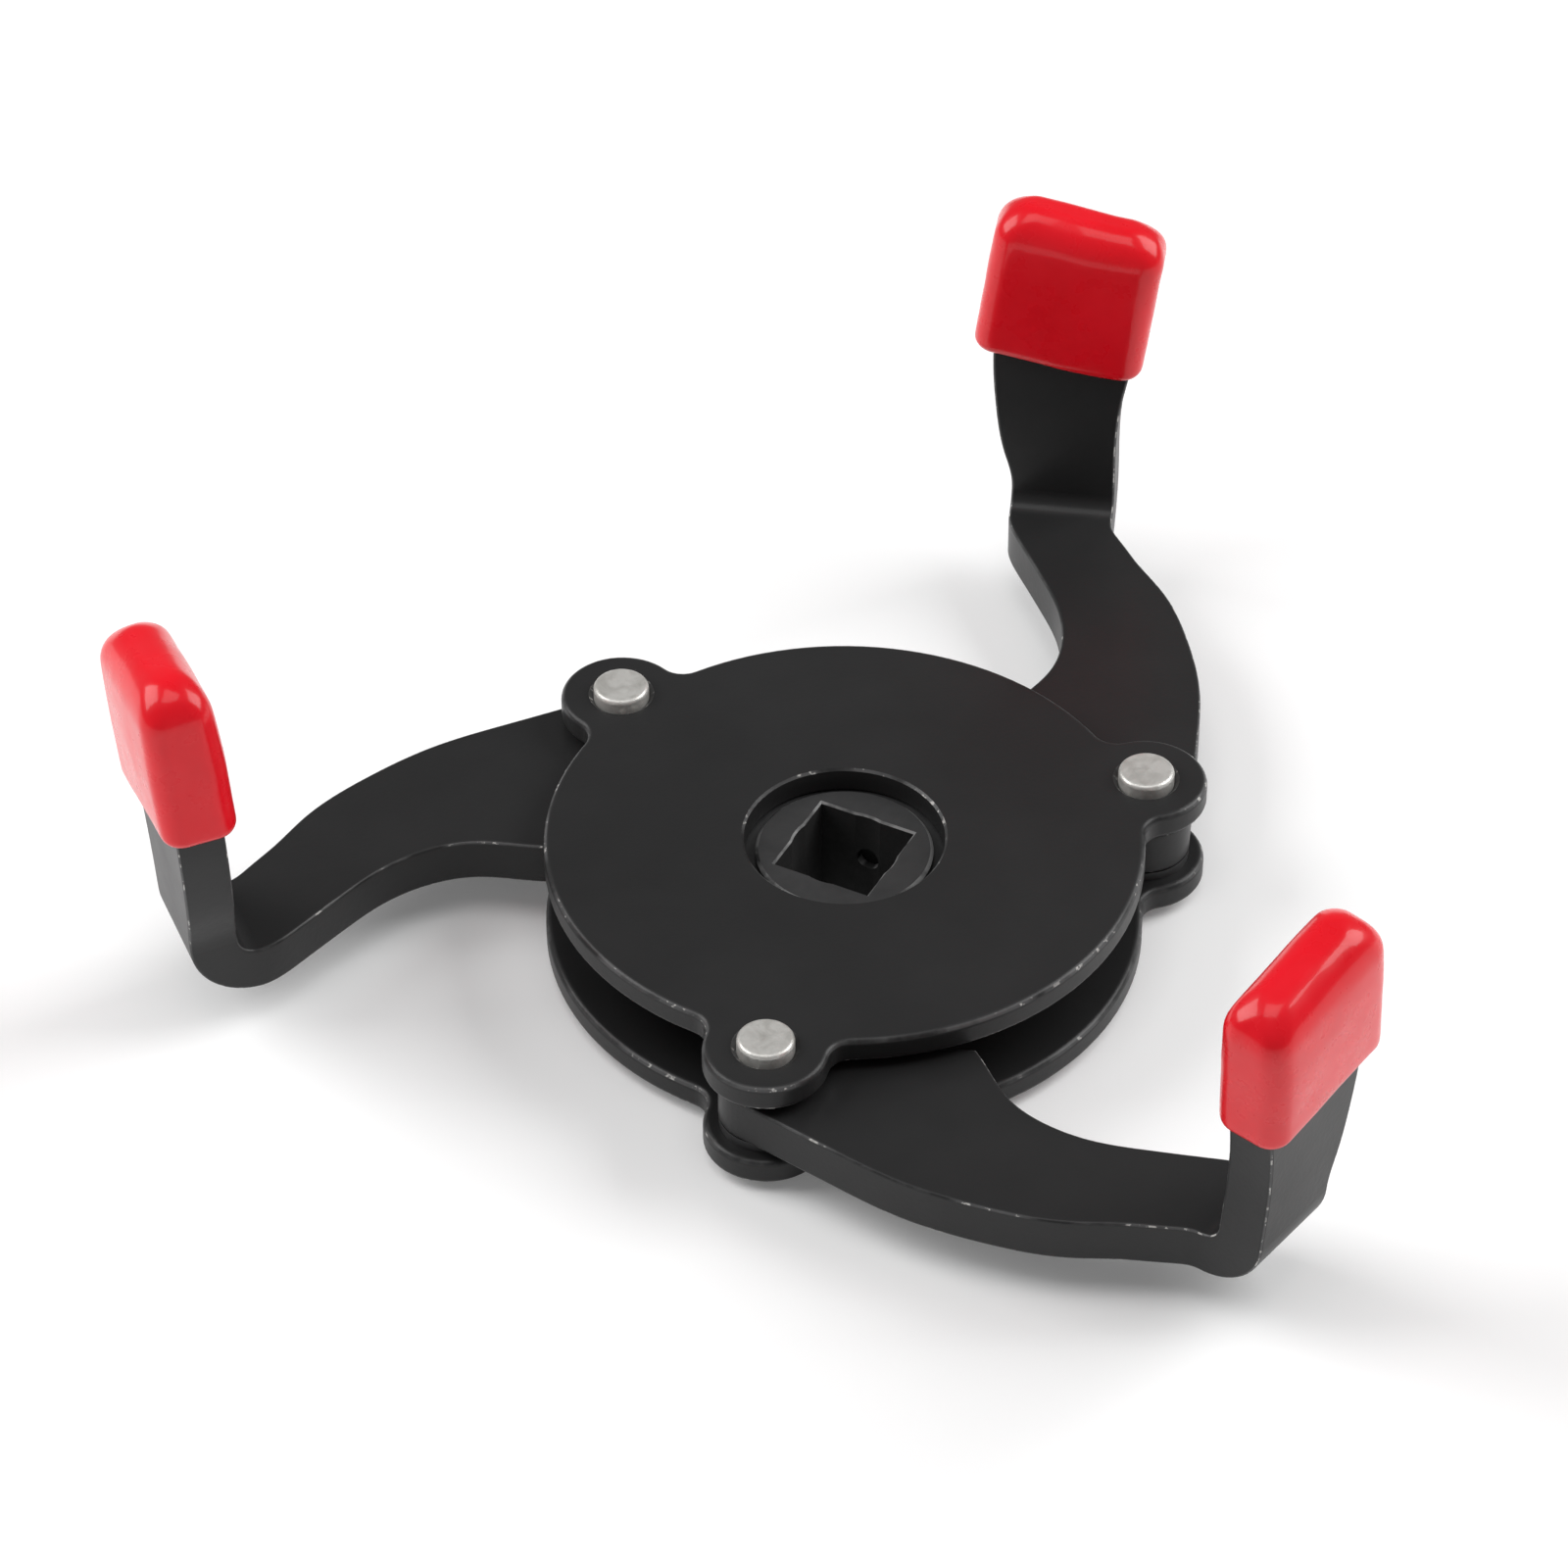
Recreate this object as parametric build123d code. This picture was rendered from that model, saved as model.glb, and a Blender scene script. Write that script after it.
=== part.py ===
from build123d import *
from math import acos, cos, pi, radians, sin, tan
import os

# Geared three-jaw oil filter wrench, in millimetres.
# The origin is on the drive axis, in the drive-side face of the hub. +Z points to the jaws.
# Turning the drive gear swings three toothed arms about their pivot pins, so that the three
# upright jaws close on a filter, or open.

# ---- driving dimensions ---------------------------------------------------------------------
ARMS = 3
PIVOT_RADIUS = 39.0          # drive axis to each pivot pin

# Plates and the stack between them
PLATE_RADIUS = 37.0
LOBE_RADIUS = 7.6            # rounded ear of the plate round each pin
LOBE_BLEND = 3.0             # concave blend from ear to rim
PLATE_THICK = 3.5
PLATE_EDGE = 0.8             # worn round on the punched edges
PLATE_GAP = 8.5              # clear height between the two plates
PIN_PROUD = 1.4              # pin end above the plate

# Pins and washers
PIN_RADIUS = 3.5
PIN_DOME = 0.6
PIN_SINK_RADIUS = 4.15       # mouth of the countersink round each pin
PIN_SINK_DEPTH = 0.65
RUNNING_GAP = 0.05           # radial clearance of every turning fit
SIDE_PLAY = 0.05             # axial clearance of every turning fit
WASHER_RADIUS = 5.7

# Hub, drive gear and square socket
MODULE = 1.5
PRESSURE_ANGLE = radians(20)
GEAR_TEETH = 21
SECTOR_TEETH = 31            # teeth that a full wheel of the arm's sector would have
BACKLASH = 0.30              # play between meshing teeth at the pitch circle, half of it from each wheel
HUB_RADIUS = 11.0
HUB_CHAMFER = 0.4
HUB_RECESS = 2.1             # upper hub face below the top face of the top plate
HUB_WINDOW_RADIUS = 12.4     # hole of the top plate round the hub
WINDOW_CHAMFER = 0.3
GEAR_PLAY = 0.1              # gear face to plate
SQUARE = 12.75               # across the flats of the 12.7 mm (1/2 in) drive socket
SQUARE_RELIEF_RADIUS = 6.6   # shallow round relief in the middle of each flat
SQUARE_TURN = 47.0           # degrees, flats of the square at rest
SQUARE_CHAMFER = 0.25        # worn off the upper mouth of the socket
DETENT_RADIUS = 1.5
DETENT_DEPTH = 1.2
DETENT_HEIGHT = 7.8

# Arms, in the place of the first one, whose pivot is on +X
ARM_THICK = 6.0
ARM_EDGE = 0.4               # worn round on every long edge
EYE_RADIUS = 5.75
EYE_LEAVES = radians(-22)    # direction of the point where the outer edge leaves the eye
SECTOR_START = 124.0         # degrees about the pivot, first and last direction of the teeth
SECTOR_END = 199.0
JAW_DIRECTION = 66.0         # degrees, the way that the jaw's outer face looks
JAW_FOOT = (46.3, 58.1)      # point of the line where the arm starts to bend up
FOOT_OUTER = 6.9             # arm edges on that line, from the point
FOOT_INNER = 6.7
BEND_RADIUS = 2.5            # inside radius of the bend
BEND_ANGLE = 86.0            # degrees, so the jaw leans out a little

# Dipped grips, on the face of the jaw: x across to the inner edge, y up from the bend
GRIP_CENTER = (0.0, 30.7)
GRIP_TURN = 7.5              # degrees, the grip follows the sideways lean of the jaw
GRIP_WIDTH = 22.3
GRIP_HEIGHT = 21.8
GRIP_WALL = 1.75
GRIP_CORNER = 4.5
GRIP_ROUND = 2.4

# ---- heights --------------------------------------------------------------------------------
LOWER_PLATE_Z = PIN_PROUD
GAP_Z = LOWER_PLATE_Z + PLATE_THICK
UPPER_PLATE_Z = GAP_Z + PLATE_GAP
PLATES_TOP = UPPER_PLATE_Z + PLATE_THICK
WASHER_THICK = (PLATE_GAP - ARM_THICK) / 2 - SIDE_PLAY
ARM_Z = GAP_Z + WASHER_THICK + SIDE_PLAY
ARM_TOP = ARM_Z + ARM_THICK
HUB_TOP = PLATES_TOP - HUB_RECESS
BEND_Z = ARM_TOP + BEND_RADIUS


# ---- gear teeth -----------------------------------------------------------------------------
def involute(radius, base_radius):
    """Angle that an involute has turned where it crosses this radius."""
    slope = acos(base_radius / radius)
    return tan(slope) - slope


def tooth(teeth, direction):
    """One involute tooth of a wheel about the origin, pointing in a direction in radians."""
    pitch_radius = MODULE * teeth / 2
    base_radius = pitch_radius * cos(PRESSURE_ANGLE)
    tip_radius = pitch_radius + MODULE
    foot_radius = pitch_radius - 1.6 * MODULE
    half_at_pitch = pi / (2 * teeth) - BACKLASH / (4 * pitch_radius)
    half_at_base = half_at_pitch + involute(pitch_radius, base_radius)
    flank = [(foot_radius, half_at_base)]
    for step in range(4):
        radius = base_radius + (tip_radius - base_radius) * step / 3
        flank.append((radius, half_at_base - involute(radius, base_radius)))
    left = [(r * cos(direction + a), r * sin(direction + a)) for r, a in flank]
    right = [(r * cos(direction - a), r * sin(direction - a)) for r, a in flank]
    return make_face(Polyline(*left, *reversed(right), close=True))


def root_radius(teeth):
    return MODULE * (teeth / 2 - 1.25)


# ---- fixed pieces ---------------------------------------------------------------------------
def at_pivots(piece):
    """Copies of a piece made about the Z axis, one at each pivot."""
    return [Rot(Z=i * 360 / ARMS) * Pos(X=PIVOT_RADIUS) * piece for i in range(ARMS)]


def plate_blank(bottom):
    """Round plate with an ear at each pivot, its outer edges rounded."""
    outline = Circle(PLATE_RADIUS)
    for ear in at_pivots(Circle(LOBE_RADIUS)):
        outline += ear
    outline = fillet(outline.vertices(), LOBE_BLEND)
    blank = extrude(Pos(Z=bottom) * outline, PLATE_THICK)
    rims = blank.edges().filter_by(Plane.XY)
    return fillet(rims, PLATE_EDGE)


def pin_hole(face_z, outward):
    """Pin hole through a plate, with a countersink in the outer face."""
    sink = Cone(PIN_RADIUS, PIN_SINK_RADIUS, PIN_SINK_DEPTH, align=(Align.CENTER, Align.CENTER, Align.MAX))
    if outward < 0:
        sink = Rot(X=180) * sink
    hole = Cylinder(PIN_RADIUS, 3 * PLATE_THICK)
    return Pos(Z=face_z) * (hole + sink)


def top_plate():
    plate = plate_blank(UPPER_PLATE_Z)
    plate -= at_pivots(pin_hole(PLATES_TOP, 1))
    plate -= Pos(Z=UPPER_PLATE_Z) * Cylinder(HUB_WINDOW_RADIUS, 3 * PLATE_THICK)
    mouth = plate.edges().filter_by(GeomType.CIRCLE).filter_by(lambda e: e.radius == HUB_WINDOW_RADIUS)
    return chamfer(mouth, WINDOW_CHAMFER)


def bottom_plate():
    plate = plate_blank(LOWER_PLATE_Z)
    plate -= at_pivots(pin_hole(LOWER_PLATE_Z, -1))
    bore = Cylinder(HUB_RADIUS + RUNNING_GAP, 3 * PLATE_THICK)
    return plate - Pos(Z=LOWER_PLATE_Z) * bore


def pivot_pin():
    pin = Cylinder(PIN_RADIUS, PLATES_TOP + PIN_PROUD, align=(Align.CENTER, Align.CENTER, Align.MIN))
    return fillet(pin.edges().filter_by(GeomType.CIRCLE), PIN_DOME)


def washer(bottom):
    ring = Circle(WASHER_RADIUS) - Circle(PIN_RADIUS)
    return extrude(Pos(Z=bottom) * ring, WASHER_THICK)


# ---- drive gear -----------------------------------------------------------------------------
def drive_gear():
    """Hub with the toothed ring and the square socket right through it."""
    wheel = Circle(root_radius(GEAR_TEETH))
    for i in range(GEAR_TEETH):
        wheel += tooth(GEAR_TEETH, 2 * pi * i / GEAR_TEETH)
    ring = extrude(Pos(Z=GAP_Z + GEAR_PLAY) * wheel, PLATE_GAP - 2 * GEAR_PLAY)
    hub = Cylinder(HUB_RADIUS, HUB_TOP, align=(Align.CENTER, Align.CENTER, Align.MIN))
    hub = chamfer(hub.edges().filter_by(GeomType.CIRCLE), HUB_CHAMFER)
    socket = Rot(Z=SQUARE_TURN) * Rectangle(SQUARE, SQUARE) + Circle(SQUARE_RELIEF_RADIUS)
    detent = Rot(Z=SQUARE_TURN) * Pos(SQUARE / 2, 0, DETENT_HEIGHT) * Rot(Y=90) * Cylinder(
        DETENT_RADIUS, 2 * DETENT_DEPTH)
    gear = hub + ring - extrude(socket, HUB_TOP)
    mouth = gear.faces().sort_by(Axis.Z)[-1].inner_wires()[0].edges()
    return chamfer(mouth, SQUARE_CHAMFER) - detent


# ---- arms -----------------------------------------------------------------------------------
OUTWARD = Vector(cos(radians(JAW_DIRECTION)), sin(radians(JAW_DIRECTION)), 0)
ACROSS = Vector(-OUTWARD.Y, OUTWARD.X, 0)
BEND_CENTER = Vector(*JAW_FOOT, BEND_Z)
JAW_NORMAL = OUTWARD * sin(radians(BEND_ANGLE)) - Vector(0, 0, 1) * cos(radians(BEND_ANGLE))


def jaw_plane(depth):
    """Plane of the jaw, this deep behind its inner face: x to the inner edge, y up, z out."""
    origin = BEND_CENTER + JAW_NORMAL * (BEND_RADIUS + depth)
    return Plane(origin=origin, x_dir=ACROSS, z_dir=JAW_NORMAL)


def arm_outline():
    """Plan of the flat part of the arm, from the pivot eye to the start of the bend."""
    foot = Vector(*JAW_FOOT)
    outer_end = foot - ACROSS * FOOT_OUTER
    inner_end = foot + ACROSS * FOOT_INNER
    eye_outer = (PIVOT_RADIUS + EYE_RADIUS * cos(EYE_LEAVES), EYE_RADIUS * sin(EYE_LEAVES))
    eye_inner = (PIVOT_RADIUS - EYE_RADIUS, 0)
    heel = (28.6, 23.2)   # end of the inner edge, beside the toothed sector
    # The points of each spline are places that the edge of the bar passes through.
    edges = [
        Spline(eye_outer, (49.4, 10.3), (52.8, 19.5), (54.6, 30), (54.6, 40), (53.3, 46.5), (52.6, 51.5),
               outer_end, tangents=[(-sin(EYE_LEAVES), cos(EYE_LEAVES)), OUTWARD]),
        Line(outer_end, inner_end),
        Spline(inner_end, (39.8, 54), (40.3, 46.5), (40.4, 41), (39.4, 35.5), (36.1, 29.3), heel,
               tangents=[-OUTWARD, (-1, -0.9)]),
        Line(heel, eye_inner),
        ThreePointArc(eye_inner, (PIVOT_RADIUS, -EYE_RADIUS), eye_outer),
    ]
    return make_face(edges)


def jaw_outline():
    """Face of the upright: it widens upward, leans sideways and has round top corners."""
    half_width = GRIP_WIDTH / 2 - GRIP_WALL
    half_height = GRIP_HEIGHT / 2 - GRIP_WALL
    inside_grip = Pos(*GRIP_CENTER) * Rot(Z=GRIP_TURN) * Pos(0, half_height)
    top_inner = (inside_grip * Pos(half_width, 0)).position
    top_outer = (inside_grip * Pos(-half_width, 0)).position
    foot_inner = (FOOT_INNER, 0)
    foot_outer = (-FOOT_OUTER, 0)
    flare_inner = (9.5, 25.0)
    flare_outer = (-9.2, 25.0)
    edges = [
        Line(foot_outer, foot_inner),
        Spline(foot_inner, (7.9, 5.5), (9.1, 12.0), flare_inner, tangents=[(0, 1), (-0.1, 1)]),
        Line(flare_inner, top_inner),
        Line(top_inner, top_outer),
        Line(top_outer, flare_outer),
        Spline(flare_outer, (-7.4, 15.0), (-6.8, 7.0), foot_outer, tangents=[(0.1, -1), (0, -1)]),
    ]
    outline = make_face(edges)
    return fillet(outline.vertices().sort_by(Axis.Y)[-2:], GRIP_CORNER - GRIP_WALL)


def is_long_edge(edge):
    """True for the edges along the arm: not the seams across the bend, nor through the thickness."""
    if edge.geom_type != GeomType.LINE:
        return True
    way = edge % 0
    crossing = (ACROSS, Vector(0, 0, 1), JAW_NORMAL)
    return all(abs(way.dot(other)) < 0.9999 for other in crossing)


def arm_limb():
    """Flat bar, bend and upright of one arm, long edges rounded."""
    bar = extrude(Pos(Z=ARM_Z) * arm_outline(), ARM_THICK)
    cut = Plane(origin=(*JAW_FOOT, ARM_Z), x_dir=ACROSS, z_dir=OUTWARD)
    section = cut * Pos((FOOT_INNER - FOOT_OUTER) / 2, ARM_THICK / 2) * Rectangle(
        FOOT_INNER + FOOT_OUTER, ARM_THICK)
    bend = revolve(section, Axis(BEND_CENTER, -ACROSS), BEND_ANGLE)
    upright = extrude(jaw_plane(0) * jaw_outline(), ARM_THICK)
    limb = bar + bend + upright
    return fillet(limb.edges().filter_by(is_long_edge), ARM_EDGE)


def arm_sector():
    """Toothed sector of the arm, about its pivot."""
    root = root_radius(SECTOR_TEETH)
    start, end = radians(SECTOR_START), radians(SECTOR_END)
    first = (root * cos(start), root * sin(start))
    middle = (root * cos((start + end) / 2), root * sin((start + end) / 2))
    last = (root * cos(end), root * sin(end))
    wedge = make_face([Line((0, 0), first), ThreePointArc(first, middle, last), Line(last, (0, 0))])
    pitch = 2 * pi / SECTOR_TEETH
    for i in range(SECTOR_TEETH):
        # The space between two teeth faces a tooth of the drive gear at rest.
        direction = pi + (i - SECTOR_TEETH // 2 + 0.5) * pitch
        if start + pitch / 2 <= direction <= end - pitch / 2:
            wedge += tooth(SECTOR_TEETH, direction)
    return extrude(Pos(PIVOT_RADIUS, 0, ARM_Z) * wedge, ARM_THICK)


def arm():
    limb = arm_limb() + arm_sector()
    bore = Pos(PIVOT_RADIUS, 0, ARM_Z) * Cylinder(PIN_RADIUS + RUNNING_GAP, 3 * ARM_THICK)
    return limb - bore


def grip(arm_solid):
    """Dipped cap over the top of a jaw, closed all round but for the jaw itself."""
    front = jaw_plane(-GRIP_WALL) * Pos(*GRIP_CENTER) * Rot(Z=GRIP_TURN)
    thick = ARM_THICK + 2 * GRIP_WALL
    cap = extrude(front * RectangleRounded(GRIP_WIDTH, GRIP_HEIGHT, GRIP_CORNER), thick)
    faces = cap.faces().sort_by(Axis(front.position, JAW_NORMAL))
    cap = fillet(faces[0].edges() + faces[-1].edges(), GRIP_ROUND)
    return cap - arm_solid


# ---- write the parts ------------------------------------------------------------------------
def save(name, piece):
    piece.label = name
    export_step(piece, f"parts/{name}.step")


os.makedirs("parts", exist_ok=True)
save("top_plate", top_plate())
save("bottom_plate", bottom_plate())
save("drive_gear", drive_gear())
first_arm = arm()
first_grip = grip(first_arm)
for i in range(ARMS):
    place = Rot(Z=i * 360 / ARMS)
    pivot = place * Pos(X=PIVOT_RADIUS)
    save(f"arm_{i + 1}", place * first_arm)
    save(f"grip_{i + 1}", place * first_grip)
    save(f"pivot_pin_{i + 1}", pivot * pivot_pin())
    save(f"lower_washer_{i + 1}", pivot * washer(GAP_Z))
    save(f"upper_washer_{i + 1}", pivot * washer(UPPER_PLATE_Z - WASHER_THICK))
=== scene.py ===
from math import cos, pi, radians, sin

import bmesh
import bpy
from mathutils import Matrix, Vector, noise


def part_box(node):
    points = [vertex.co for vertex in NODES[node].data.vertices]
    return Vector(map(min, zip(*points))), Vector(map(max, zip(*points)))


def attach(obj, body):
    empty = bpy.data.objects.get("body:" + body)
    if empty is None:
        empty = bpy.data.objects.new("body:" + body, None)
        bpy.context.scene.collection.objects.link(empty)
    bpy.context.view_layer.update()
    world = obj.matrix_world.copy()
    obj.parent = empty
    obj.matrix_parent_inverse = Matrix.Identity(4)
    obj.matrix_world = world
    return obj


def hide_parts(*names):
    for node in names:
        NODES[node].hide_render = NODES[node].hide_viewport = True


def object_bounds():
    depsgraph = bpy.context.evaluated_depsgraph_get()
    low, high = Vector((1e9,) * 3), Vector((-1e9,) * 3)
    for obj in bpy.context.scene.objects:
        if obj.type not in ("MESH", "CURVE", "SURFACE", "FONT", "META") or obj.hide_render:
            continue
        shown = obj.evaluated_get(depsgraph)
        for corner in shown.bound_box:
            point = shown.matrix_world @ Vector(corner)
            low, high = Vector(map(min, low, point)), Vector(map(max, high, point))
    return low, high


# Geared three-jaw oil filter wrench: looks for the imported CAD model. Lengths are metres.

MM = 0.001
ARMS = 3
UP = (0, 0, 1)

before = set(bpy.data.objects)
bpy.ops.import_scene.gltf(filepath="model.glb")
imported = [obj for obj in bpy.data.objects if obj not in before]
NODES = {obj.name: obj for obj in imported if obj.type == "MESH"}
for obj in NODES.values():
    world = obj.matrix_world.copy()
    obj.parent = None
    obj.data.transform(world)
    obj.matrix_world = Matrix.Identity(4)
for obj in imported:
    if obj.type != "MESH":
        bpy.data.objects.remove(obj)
CAD_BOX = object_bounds()

# ---- camera and stage -----------------------------------------------------------------------
CAMERA_AZIMUTH = -15.6       # degrees round the drive axis; 0 looks along +Y
CAMERA_ELEVATION = 40.8
CAMERA_ROLL = -0.24          # degrees
CAMERA_DISTANCE = 784 * MM
CAMERA_LENS = 146.5          # mm on a 36 mm sensor
CAMERA_SIDE = -7.4 * MM      # the aim point beside and above the top plate's centre
CAMERA_RISE = 6.3 * MM
FLOOR_SIZE = 6.0
FLOOR_GAP = 0.05 * MM        # below the lowest point of the tool
FLOOR_GLOW = 0.12
PAPER_GREY = 0.9
PAPER_ROUGHNESS = 0.9
PAPER_SPECULAR = 0.1
SKY = 0.20
LIGHT_AIM = (0, 0, 0.02)
LIGHTS = (                   # name, place, width and height, watts
    ("top_softbox", (-0.12, -0.20, 1.25), 0.7, 3.4),
    ("left_softbox", (-0.65, 0.30, 0.60), 0.6, 5.4),
    ("right_softbox", (0.70, -0.02, 0.60), 0.6, 5.4),
)


def make_camera():
    """Camera that looks at the middle of the top plate from the photograph's angle."""
    azimuth, elevation = radians(CAMERA_AZIMUTH), radians(CAMERA_ELEVATION)
    level = cos(elevation)
    back = Vector((sin(azimuth) * level, -cos(azimuth) * level, sin(elevation)))
    right = Vector((cos(azimuth), sin(azimuth), 0))
    up = back.cross(right)
    plate_top = Vector((0, 0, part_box("top_plate")[1].z))
    place = plate_top + back * CAMERA_DISTANCE + right * CAMERA_SIDE + up * CAMERA_RISE
    roll = Matrix.Rotation(radians(CAMERA_ROLL), 3, "Z")
    turn = Matrix((right, up, back)).transposed() @ roll
    data = bpy.data.cameras.new("camera")
    data.lens = CAMERA_LENS
    camera = bpy.data.objects.new("camera", data)
    camera.matrix_world = Matrix.Translation(place) @ turn.to_4x4()
    bpy.context.scene.collection.objects.link(camera)
    bpy.context.scene.camera = camera


def soft_light(name, place, size, power):
    """Square studio light that faces the tool."""
    data = bpy.data.lights.new(name, "AREA")
    data.shape = "RECTANGLE"
    data.size = size
    data.size_y = size
    data.energy = power
    light = bpy.data.objects.new(name, data)
    light.location = place
    toward = Vector(LIGHT_AIM) - Vector(place)
    light.rotation_euler = toward.to_track_quat("-Z", "Y").to_euler()
    bpy.context.scene.collection.objects.link(light)


def make_stage():
    """White sweep that glows a little, as on a light table, under soft studio lights."""
    mesh = bpy.data.meshes.new("floor")
    half = FLOOR_SIZE / 2
    level = CAD_BOX[0].z - FLOOR_GAP
    corners = ((-half, -half), (half, -half), (half, half), (-half, half))
    mesh.from_pydata([(x, y, level) for x, y in corners], [], [(0, 1, 2, 3)])
    floor = bpy.data.objects.new("floor", mesh)
    bpy.context.scene.collection.objects.link(floor)
    paper = bpy.data.materials.new("floor_paper")
    paper.use_nodes = True
    shader = paper.node_tree.nodes["Principled BSDF"]
    shader.inputs["Base Color"].default_value = (PAPER_GREY, PAPER_GREY, PAPER_GREY, 1)
    shader.inputs["Roughness"].default_value = PAPER_ROUGHNESS
    shader.inputs["Specular IOR Level"].default_value = PAPER_SPECULAR
    shader.inputs["Emission Color"].default_value = (1, 1, 1, 1)
    shader.inputs["Emission Strength"].default_value = FLOOR_GLOW
    mesh.materials.append(paper)
    world = bpy.data.worlds.new("studio")
    world.use_nodes = True
    sky = world.node_tree.nodes["Background"]
    sky.inputs["Color"].default_value = (1, 1, 1, 1)
    sky.inputs["Strength"].default_value = SKY
    bpy.context.scene.world = world
    bpy.context.scene.view_settings.view_transform = "Standard"
    for light in LIGHTS:
        soft_light(*light)


# ---- materials ------------------------------------------------------------------------------
NOISE_ROUGHNESS = 0.55


class Shader:
    """A Principled material and short calls for the nodes that feed it."""

    def __init__(self, name):
        self.material = bpy.data.materials.new(name)
        self.material.use_nodes = True
        self.nodes = self.material.node_tree.nodes
        self.links = self.material.node_tree.links
        self.bsdf = self.nodes["Principled BSDF"]
        self.coords = self.nodes.new("ShaderNodeTexCoord")

    def set(self, **values):
        for key, value in values.items():
            self.bsdf.inputs[key.replace("_", " ")].default_value = value

    def feed(self, source, target):
        self.links.new(source, self.bsdf.inputs[target])

    def noise(self, scale, detail, offset=(0, 0, 0), distortion=0.0):
        """Noise in the object's own space; scale is in features per metre."""
        shift = self.nodes.new("ShaderNodeMapping")
        shift.inputs["Location"].default_value = offset
        self.links.new(self.coords.outputs["Object"], shift.inputs["Vector"])
        node = self.nodes.new("ShaderNodeTexNoise")
        node.inputs["Scale"].default_value = scale
        node.inputs["Detail"].default_value = detail
        node.inputs["Roughness"].default_value = NOISE_ROUGHNESS
        node.inputs["Distortion"].default_value = distortion
        self.links.new(shift.outputs["Vector"], node.inputs["Vector"])
        return node.outputs["Fac"]

    def cells(self, scale):
        """Distance to the nearest of scattered points; scale is in points per metre."""
        node = self.nodes.new("ShaderNodeTexVoronoi")
        node.inputs["Scale"].default_value = scale
        self.links.new(self.coords.outputs["Object"], node.inputs["Vector"])
        return node.outputs["Distance"]

    def ramp(self, source, low, high, out_low=0.0, out_high=1.0):
        """Maps low..high to out_low..out_high, clamped."""
        node = self.nodes.new("ShaderNodeMapRange")
        node.inputs["From Min"].default_value = low
        node.inputs["From Max"].default_value = high
        node.inputs["To Min"].default_value = out_low
        node.inputs["To Max"].default_value = out_high
        self.links.new(source, node.inputs["Value"])
        return node.outputs["Result"]

    def math(self, operation, a, b=0):
        node = self.nodes.new("ShaderNodeMath")
        node.operation = operation
        for socket, value in zip(node.inputs, (a, b)):
            if isinstance(value, (int, float)):
                socket.default_value = value
            else:
                self.links.new(value, socket)
        return node.outputs["Value"]

    def mix(self, factor, a, b):
        """Colour a where factor is 0, b where it is 1."""
        node = self.nodes.new("ShaderNodeMix")
        node.data_type = "RGBA"
        self.links.new(factor, node.inputs["Factor"])
        for socket, value in ((node.inputs[6], a), (node.inputs[7], b)):
            if isinstance(value, tuple):
                socket.default_value = (*value, 1)
            else:
                self.links.new(value, socket)
        return node.outputs[2]

    def dot(self, direction):
        """How far the surface faces along a line in the object's own space, 0 to 1."""
        node = self.nodes.new("ShaderNodeVectorMath")
        node.operation = "DOT_PRODUCT"
        self.links.new(self.coords.outputs["Normal"], node.inputs[0])
        node.inputs[1].default_value = direction
        return self.math("ABSOLUTE", node.outputs["Value"])

    def along(self, direction):
        """Distance of the point, in the object's own space, along a direction."""
        node = self.nodes.new("ShaderNodeVectorMath")
        node.operation = "DOT_PRODUCT"
        self.links.new(self.coords.outputs["Object"], node.inputs[0])
        node.inputs[1].default_value = direction
        return node.outputs["Value"]

    def axis_distance(self):
        """Distance of the point from the drive axis."""
        flat = self.nodes.new("ShaderNodeVectorMath")
        flat.operation = "MULTIPLY"
        self.links.new(self.coords.outputs["Object"], flat.inputs[0])
        flat.inputs[1].default_value = (1, 1, 0)
        length = self.nodes.new("ShaderNodeVectorMath")
        length.operation = "LENGTH"
        self.links.new(flat.outputs["Vector"], length.inputs[0])
        return length.outputs["Value"]

    def bump(self, height, distance, after=None):
        """Raises the surface by up to a distance, on top of another bump where one is given."""
        node = self.nodes.new("ShaderNodeBump")
        node.inputs["Distance"].default_value = distance
        self.links.new(height, node.inputs["Height"])
        if after:
            self.links.new(after, node.inputs["Normal"])
        return node.outputs["Normal"]


PAINT = (0.0165, 0.0165, 0.0168)
PAINT_SMUDGED = (0.0200, 0.0200, 0.0203)
# lighter tone on the edges: rubbed paint, and also bright enough to be a painted highlight along
# the rims
PAINT_WORN_AND_HIGHLIGHT = (0.085, 0.085, 0.086)
OXIDE = (0.023, 0.023, 0.0235)
OXIDE_LIGHT = (0.034, 0.034, 0.0345)
# bright steel on the edges: wear, and partly a painted highlight
OXIDE_WORN_AND_HIGHLIGHT = (0.20, 0.20, 0.20)
# painted shade: the colour that darkens the walls of the square socket
SOCKET_PAINTED_SHADE = (0.004, 0.004, 0.004)
SOCKET_RADIUS = 9.4 * MM     # takes in the corners of the square socket
SOCKET_DULLNESS = 0.4        # added to the roughness inside it
BARE = (0.50, 0.49, 0.47)
ZINC = (0.66, 0.65, 0.62)
ZINC_STAINED = (0.48, 0.47, 0.44)
RED = (0.76, 0.0040, 0.0120)
RED_CLOUDY = (0.84, 0.0070, 0.0180)
SUBSURFACE_SPREAD = (1.0, 0.10, 0.08)    # how far red, green and blue travel in the vinyl
PEEL_HEIGHT = 0.02 * MM
GRAIN_HEIGHT = 0.012 * MM
PIT_DEPTH = 0.015 * MM
PIN_WAVE = 0.05 * MM
BUBBLE_HEIGHT = 0.02 * MM
SKIN_WAVE = 0.10 * MM
SIDES_OUT = (0.25, 0.45)     # ramps that leave only edges: without a flat piece's sides,
JAW_FACES_OUT = (0.30, 0.50)     # without a jaw's broad faces,
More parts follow.
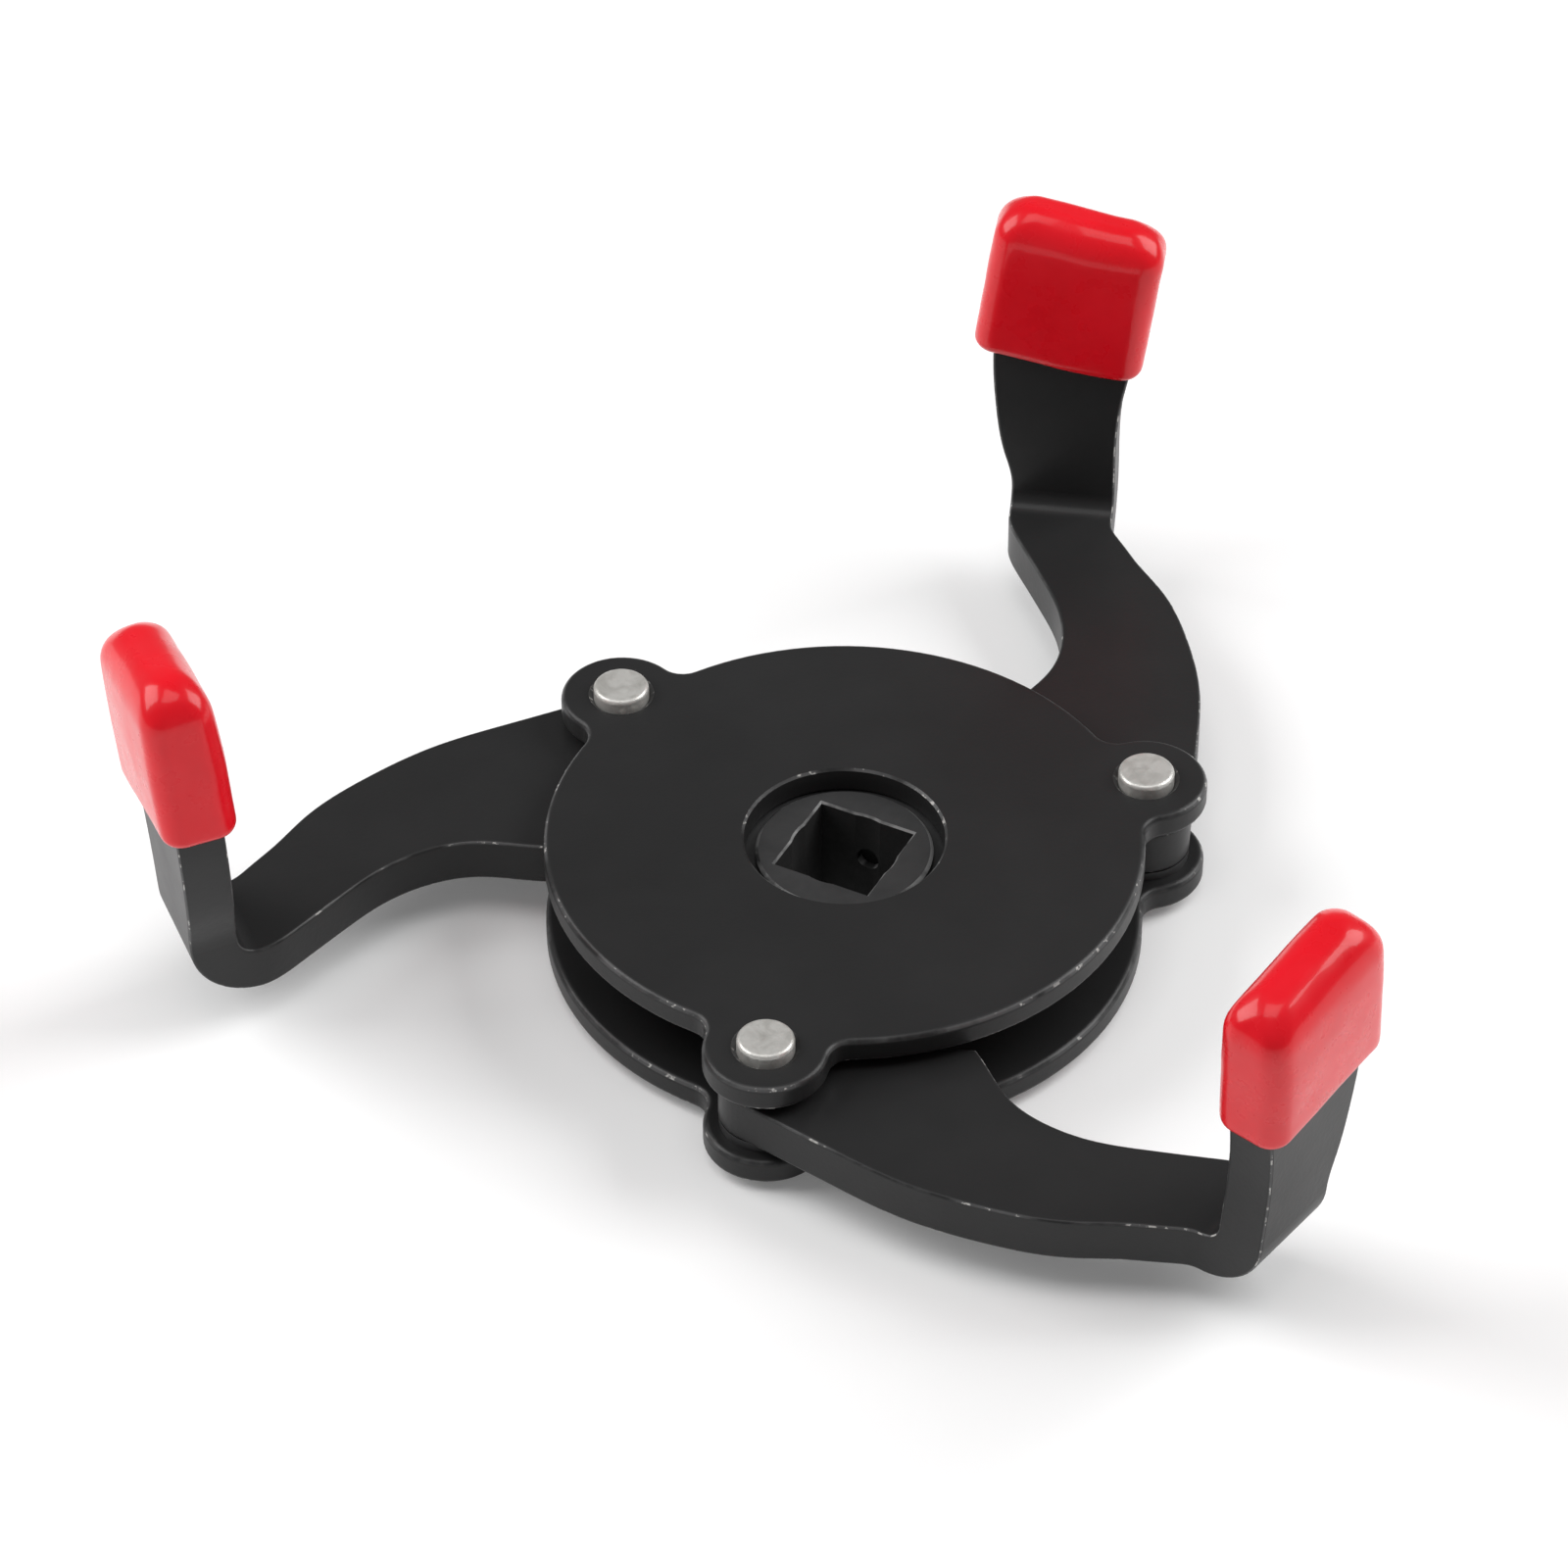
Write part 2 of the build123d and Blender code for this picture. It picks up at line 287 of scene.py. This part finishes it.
SQUARE_ON_OUT = (0.93, 0.80)     # and without what faces the line square on


def edge_between(s, facing, faces_out):
    """Rounded and chamfered edges: the surface faces neither along a line nor across it."""
    return s.math("MULTIPLY", s.ramp(facing, *faces_out), s.ramp(facing, *SQUARE_ON_OUT))


def tilted(s):
    """Edges of a flat piece, between its faces and its sides."""
    return edge_between(s, s.dot(UP), SIDES_OUT)


def black_paint(name, edges):
    """Satin black paint: faint orange peel, smudges, lighter edges that are partly rubbed paint
    and partly a painted highlight, and chips down to the steel on the edges.
    """
    s = Shader(name)
    s.set(Specular_IOR_Level=0.24, Coat_Weight=0.14, Coat_Roughness=0.20)
    smudge = s.ramp(s.noise(scale=45, detail=4), low=0.40, high=0.70)
    tone = s.mix(smudge, PAINT, PAINT_SMUDGED)
    haze = s.noise(scale=90, detail=5, offset=(3, 1, 2))
    rough = s.ramp(haze, low=0.3, high=0.7, out_low=0.40, out_high=0.47)
    peel = s.bump(s.noise(scale=1300, detail=2), PEEL_HEIGHT)
    patches = s.ramp(s.noise(scale=120, detail=4, offset=(7, 0, 4)), low=0.40, high=0.56)
    # edges in patches: rubbed paint, and partly a painted highlight
    wear_and_highlight = s.math("MULTIPLY", edges(s), patches)
    tone = s.mix(wear_and_highlight, tone, PAINT_WORN_AND_HIGHLIGHT)
    spots = s.ramp(s.noise(scale=900, detail=3, offset=(1, 5, 9)), low=0.55, high=0.62)
    chips = s.math("MULTIPLY", spots, s.ramp(wear_and_highlight, low=0.60, high=0.95))
    tone = s.mix(chips, tone, BARE)
    s.feed(tone, "Base Color")
    s.feed(rough, "Roughness")
    s.feed(peel, "Normal")
    return s.material


def dark_steel(name):
    """Black oxide on steel, lighter than the paint; bright on its corners, partly from wear and
    partly as a painted highlight; painted shade on the socket's walls.
    """
    s = Shader(name)
    cloud = s.ramp(s.noise(scale=200, detail=4), low=0.3, high=0.75)
    tone = s.mix(cloud, OXIDE, OXIDE_LIGHT)
    upright = s.ramp(s.dot(UP), low=0.5, high=0.2)
    near_axis = s.math("LESS_THAN", s.axis_distance(), SOCKET_RADIUS)
    socket_shade_and_dullness = s.math("MULTIPLY", upright, near_axis)
    # painted shade: the socket's walls are darkened; the same mask makes them duller below
    tone = s.mix(socket_shade_and_dullness, tone, SOCKET_PAINTED_SHADE)
    patches = s.ramp(s.noise(scale=260, detail=3, offset=(2, 8, 1)), low=0.38, high=0.58)
    # edges in patches: worn steel, and partly a painted highlight
    tone = s.mix(s.math("MULTIPLY", tilted(s), patches), tone, OXIDE_WORN_AND_HIGHLIGHT)
    s.feed(tone, "Base Color")
    haze = s.noise(scale=500, detail=4)
    rough = s.ramp(haze, low=0.3, high=0.7, out_low=0.36, out_high=0.48)
    s.feed(s.math("ADD", rough, s.math("MULTIPLY", socket_shade_and_dullness, SOCKET_DULLNESS)), "Roughness")
    s.feed(s.bump(s.noise(scale=2500, detail=2), GRAIN_HEIGHT), "Normal")
    return s.material


def bare_steel(name):
    """Satin zinc on the pins, with faint pits and stains."""
    s = Shader(name)
    s.set(Metallic=0.5)
    stain = s.ramp(s.noise(scale=420, detail=4, distortion=0.6), low=0.42, high=0.70)
    s.feed(s.mix(stain, ZINC, ZINC_STAINED), "Base Color")
    haze = s.noise(scale=1500, detail=3)
    s.feed(s.ramp(haze, low=0.3, high=0.7, out_low=0.32, out_high=0.44), "Roughness")
    pits = s.bump(s.ramp(s.noise(scale=2600, detail=2), low=0.25, high=0.45), PIT_DEPTH)
    s.feed(s.bump(s.noise(scale=450, detail=2), PIN_WAVE, after=pits), "Normal")
    return s.material


def red_vinyl(name):
    """Glossy dipped vinyl: deep red and slightly cloudy, with a few trapped bubbles."""
    s = Shader(name)
    s.set(Subsurface_Weight=0.10, Subsurface_Radius=SUBSURFACE_SPREAD, Subsurface_Scale=1.0 * MM,
          Specular_IOR_Level=0.22, Coat_Weight=0.36, Coat_Roughness=0.07)
    cloud = s.ramp(s.noise(scale=90, detail=3), low=0.3, high=0.7)
    s.feed(s.mix(cloud, RED, RED_CLOUDY), "Base Color")
    haze = s.noise(scale=300, detail=3)
    s.feed(s.ramp(haze, low=0.3, high=0.7, out_low=0.24, out_high=0.34), "Roughness")
    bubbles = s.ramp(s.cells(scale=210), low=0.03, high=0.10, out_low=1.0, out_high=0.0)
    skin = s.bump(s.noise(scale=110, detail=2), SKIN_WAVE)
    s.feed(s.bump(bubbles, BUBBLE_HEIGHT, after=skin), "Normal")
    return s.material


# ---- jaws and grips -------------------------------------------------------------------------
JAW_DIRECTION = 66.0         # degrees; the way the first jaw's outer face looks, as in the CAD
BEND_ANGLE = 86.0            # degrees; from the flat bar up to the jaw
BEND_START = 71.9 * MM       # from the drive axis to the line where the arm bends
GRIP_TURN = 7.5              # degrees; in the plane of the jaw
GRIP_SIZE = Vector((22.3, 21.8, 9.5)) * MM
GRIP_SHRINK = 0.05 * MM      # room for the uneven skin inside the CAD solid's size
GRIP_WALL = 1.75 * MM
TOP_CORNER = 4.8 * MM
SIDE_ROUND = 2.9 * MM
CROWN_ROUND = 3.7 * MM       # top edges of the front and back faces
RIM_CORNER = 2.6 * MM
RIM_RISE = 0.55              # the rim's roll, as shares of its corner
RIM_INSET = 0.62
RIM_ROUND = 1.0 * MM
LINING_DEPTH = 1.2 * MM      # the inner wall that shows under the rim
LINING_ROUND = 0.6 * MM
LIP_HEIGHT = 0.3 * MM        # the inner wall's edge, where it starts to roll out
LIP_GROWTH = 0.05 * MM
LIP_ROUND = 0.7 * MM
LIP_STEP = 0.3 * MM          # outward from that wall to the start of the roll
CORNER_STEPS = 8             # of the skin's mesh, round each corner and along each side
LONG_STEPS = 16
SHORT_STEPS = 6
RIM_STEPS = 7                # rings round the rim, up the body, over the crown and on its top
BODY_STEPS = 14
CROWN_STEPS = 12
TOP_STEPS = 6
FULLEST_CORNER = 0.98        # share of a ring's half width that its corner may take
TOP_CORE = 0.25              # share of the crown's width that its last rings close in on
FACE_FULLNESS = 0.99         # share of the thickness at the rim and the sides
PILLOW = 0.06                # added to it in the middle of the front and back faces
CROWN_TAPER = 0.10           # the faces lean in a little toward the crown
TAPER_START = 0.3            # from this share of the half height below the middle
WAVE_SCALE = 110             # waves per metre
WAVE_PLACE = Vector((0, 5.1, 2.2))
WAVE_STEP = Vector((17.3, 0, 0))         # gives each grip waves of its own
WAVE = 0.20 * MM
RIPPLE = 0.06 * MM
RIPPLE_SCALE = 2.7
ROLL_ACROSS = 2.6            # radians of the rim's and crown's swell, from middle to side
ROLL_START = 0.5
ROLL_STEP = 0.7
CROWN_ROLL = 0.40            # mm, as are the next two
CROWN_DROP = 0.30
RIM_ROLL = 0.25


def arm_turn(i):
    """Rotation from the first arm's place to another's."""
    return Matrix.Rotation(2 * pi * i / ARMS, 3, "Z")


def jaw_outward():
    """The way the first jaw's outer face looks, seen from above."""
    return Vector((cos(radians(JAW_DIRECTION)), sin(radians(JAW_DIRECTION)), 0))


def jaw_axes(i):
    """Across, along and outward directions of one grip."""
    outward = jaw_outward()
    across = Vector((-outward.y, outward.x, 0))
    up = Vector(UP)
    bend = radians(BEND_ANGLE)
    normal = outward * sin(bend) - up * cos(bend)
    along = outward * cos(bend) + up * sin(bend)
    turn = Matrix.Rotation(radians(GRIP_TURN), 3, normal)
    place = arm_turn(i)
    return [place @ turn @ v for v in (across, along)] + [place @ normal]


def rounded_ring(half_width, half_thick, corner):
    """Points round a rounded rectangle: an arc in each corner and even steps along each side."""
    corner = min(corner, half_width * FULLEST_CORNER, half_thick * FULLEST_CORNER)
    across, deep = half_width - corner, half_thick - corner
    arcs = []
    for k, (sx, sz) in enumerate(((1, 1), (-1, 1), (-1, -1), (1, -1))):
        angles = [pi / 2 * (k + j / CORNER_STEPS) for j in range(CORNER_STEPS + 1)]
        arcs.append([Vector((across * sx + corner * cos(a), deep * sz + corner * sin(a)))
                     for a in angles])
    points = []
    for k, arc in enumerate(arcs):
        steps = SHORT_STEPS if k % 2 else LONG_STEPS
        following = arcs[(k + 1) % 4][0]
        points += arc + [arc[-1].lerp(following, j / steps) for j in range(1, steps)]
    return points


def quarter(steps):
    """Sine and 1 - cosine, in even steps over a quarter turn."""
    angles = [pi / 2 * k / (steps - 1) for k in range(steps)]
    return [(sin(a), 1 - cos(a)) for a in angles]


def grip_rings():
    """Half outlines of the skin, from inside the rim to the middle of the crown.

    Each ring is a height, a half width, a half thickness and a corner radius.
    """
    half = GRIP_SIZE / 2 - Vector((1, 1, 1)) * GRIP_SHRINK
    width, thick = half.x - GRIP_WALL, half.z - GRIP_WALL
    rings = [(-half.y + LINING_DEPTH, width, thick, LINING_ROUND),
             (-half.y + LIP_HEIGHT, width + LIP_GROWTH, thick + LIP_GROWTH, LIP_ROUND)]
    for grow, drop in quarter(RIM_STEPS):
        rings.append((-half.y + RIM_CORNER * RIM_RISE * drop,
                      half.x - RIM_CORNER * (1 - grow) * RIM_INSET,
                      half.z - (GRIP_WALL - LIP_STEP) * (1 - grow),
                      RIM_ROUND + (SIDE_ROUND - RIM_ROUND) * grow))
    low, high = -half.y + RIM_CORNER * RIM_RISE, half.y - TOP_CORNER
    for k in range(1, BODY_STEPS):
        rings.append((low + (high - low) * k / BODY_STEPS, half.x, half.z, SIDE_ROUND))
    for rise, inset in quarter(CROWN_STEPS):
        rings.append((high + TOP_CORNER * rise, half.x - TOP_CORNER * inset,
                      half.z - CROWN_ROUND * inset, SIDE_ROUND))
    for k in range(1, TOP_STEPS):
        f = 1 - k / TOP_STEPS
        rings.append((half.y, (half.x - TOP_CORNER) * (TOP_CORE + (1 - TOP_CORE) * f),
                      (half.z - CROWN_ROUND) * f, SIDE_ROUND))
    return rings


def uneven(x, y, z, i):
    """Moves one point of a grip's plain skin to its place on the soft, uneven one."""
    half = GRIP_SIZE / 2
    sag = 1 - (y / half.y) ** 2
    z *= FACE_FULLNESS + PILLOW * sag * (1 - (x / half.x) ** 2)
    z *= 1 - CROWN_TAPER * max(0, (y / half.y + TAPER_START) / (1 + TAPER_START)) ** 2
    seed = Vector((x, y, z)) * WAVE_SCALE + (WAVE_PLACE + WAVE_STEP * i)
    wave = WAVE * noise.noise(seed) + RIPPLE * noise.noise(seed * RIPPLE_SCALE)
    roll = sin(ROLL_ACROSS * x / half.x - ROLL_START + ROLL_STEP * i)
    crown = max(0, y / half.y) * (CROWN_ROLL * roll - CROWN_DROP) * MM
    rim = max(0, -y / half.y) * RIM_ROLL * roll * MM
    point = Vector((x, y + (crown + rim), z))
    return point + point.normalized() * wave


def make_grip(i, material):
    """Dipped cap on one jaw, closed at the crown and inside the rim."""
    node = f"grip_{i + 1}"
    low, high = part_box(node)
    centre = (low + high) / 2
    across, along, normal = jaw_axes(i)
    mesh = bmesh.new()
    rings = []
    for height, width, thick, corner in grip_rings():
        points = [uneven(x, height, z, i) for x, z in rounded_ring(width, thick, corner)]
        rings.append([mesh.verts.new(centre + across * p.x + along * p.y + normal * p.z)
                      for p in points])
    for ring, after in zip(rings, rings[1:]):
        for j in range(len(ring)):
            n = (j + 1) % len(ring)
            mesh.faces.new((ring[j], ring[n], after[n], after[j]))
    mesh.faces.new(rings[-1])
    mesh.faces.new(list(reversed(rings[0])))
    bmesh.ops.recalc_face_normals(mesh, faces=mesh.faces)
    data = bpy.data.meshes.new(node + "_skin")
    mesh.to_mesh(data)
    mesh.free()
    for face in data.polygons:
        face.use_smooth = True
    data.materials.append(material)
    skin = bpy.data.objects.new(node + "_skin", data)
    bpy.context.scene.collection.objects.link(skin)
    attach(skin, f"arm_{i + 1}")
    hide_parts(node)


# ---- put together ---------------------------------------------------------------------------
def paint(node, material):
    """Gives a CAD node's mesh one material."""
    data = NODES[node].data
    data.materials.clear()
    data.materials.append(material)


def arm_edges(i):
    """Long edges of one arm, on the flat bar, round the bend and up the jaw."""
    outward = arm_turn(i) @ jaw_outward()
    across = Vector((-outward.y, outward.x, 0))

    def mask(s):
        beyond = s.ramp(s.along(outward), BEND_START, BEND_START + MM)
        jaw = s.math("MULTIPLY", edge_between(s, s.dot(across), JAW_FACES_OUT), beyond)
        bar = s.math("MULTIPLY", tilted(s), s.math("SUBTRACT", 1, beyond))
        return s.math("ADD", jaw, bar)

    return mask


make_camera()
make_stage()
plate_paint = black_paint("plate_paint", tilted)
hub_steel = dark_steel("hub_steel")
pin_steel = bare_steel("pin_steel")
vinyl = red_vinyl("red_vinyl")
paint("top_plate", plate_paint)
paint("bottom_plate", plate_paint)
paint("drive_gear", hub_steel)
for i in range(ARMS):
    paint(f"arm_{i + 1}", black_paint(f"arm_paint_{i + 1}", arm_edges(i)))
    paint(f"pivot_pin_{i + 1}", pin_steel)
    paint(f"lower_washer_{i + 1}", hub_steel)
    paint(f"upper_washer_{i + 1}", hub_steel)
    make_grip(i, vinyl)

bpy.context.view_layer.update()
